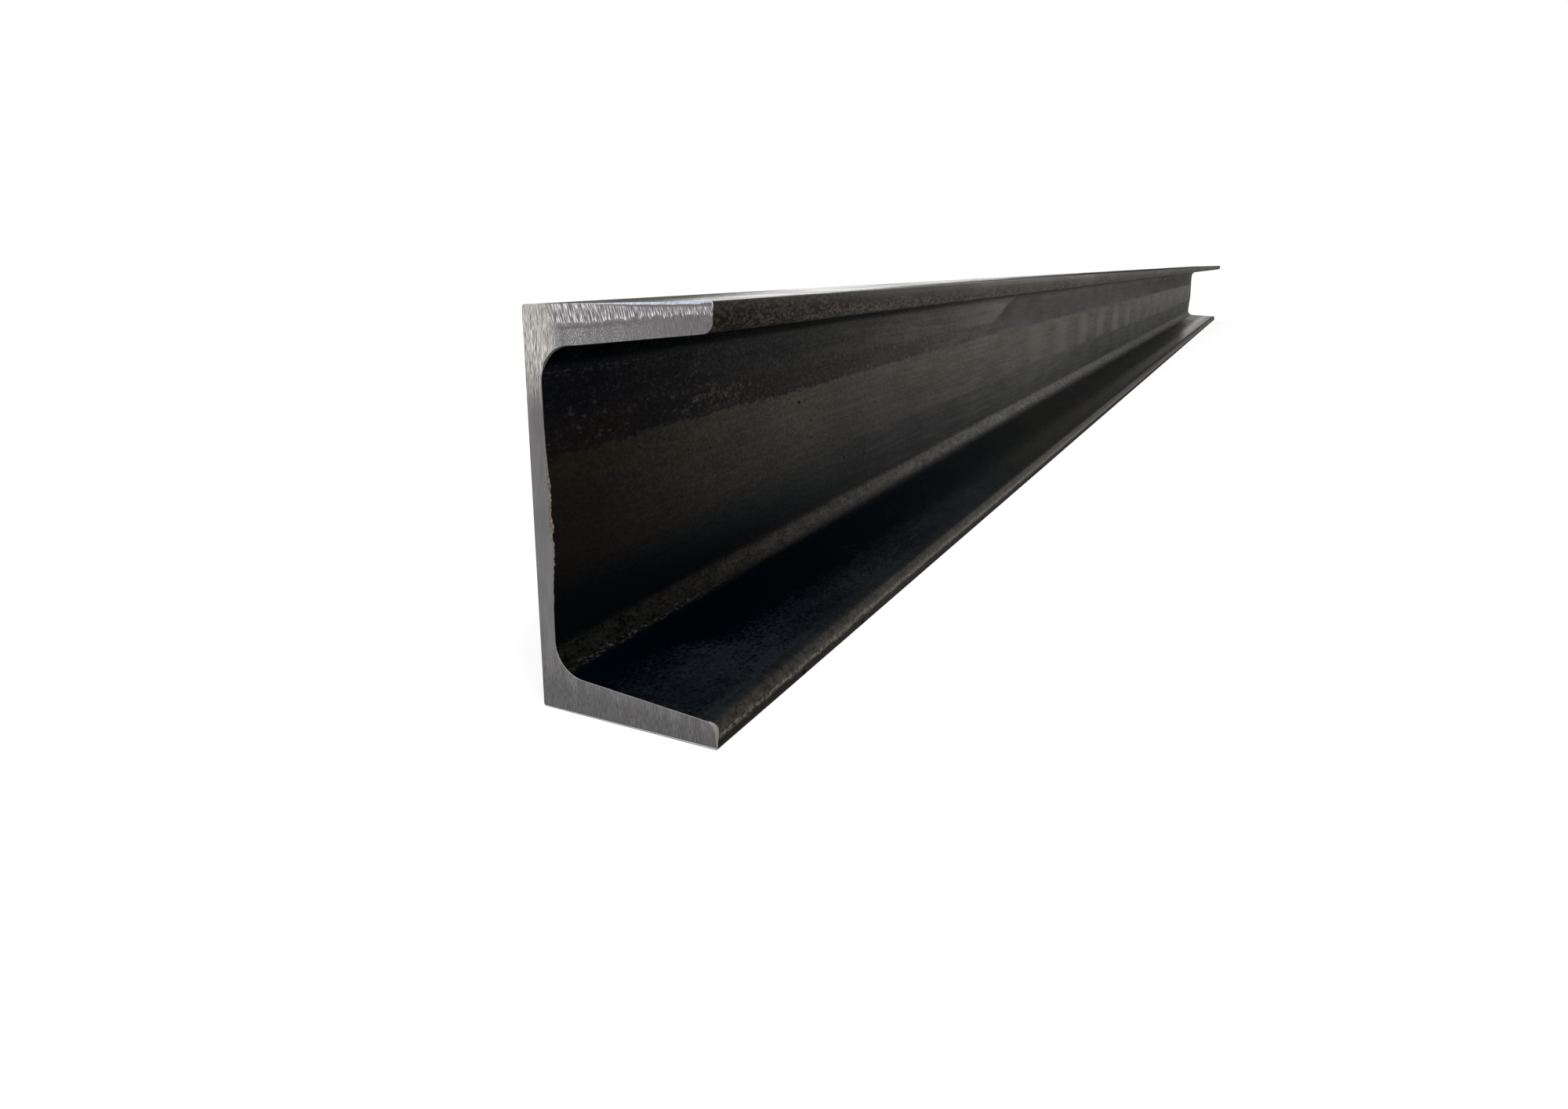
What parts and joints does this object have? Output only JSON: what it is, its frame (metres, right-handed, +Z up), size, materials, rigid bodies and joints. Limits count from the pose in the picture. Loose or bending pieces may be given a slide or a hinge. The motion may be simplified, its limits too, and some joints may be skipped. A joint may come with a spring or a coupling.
{
  "type": "steel channel",
  "caption": "Straight hot-rolled steel channel with tapered flanges, filleted roots and rounded toes, black with mill scale and sawn square at its ends; structural bar stock.",
  "frame": {"origin": "middle of the bounding box in plan, on the plane that the lower flange rests on", "axes": "+X along the bar, away from the end that is nearest in the picture; +Y out of the web's flat back, so the open side faces -Y; +Z up"},
  "size_m": [2, 0.05, 0.1],
  "materials": {
    "hot_rolled_steel": "black mill scale, with bare sawn ends"
  },
  "bodies": {
    "root": {"channel": "hot_rolled_steel"}
  },
  "joints": []
}
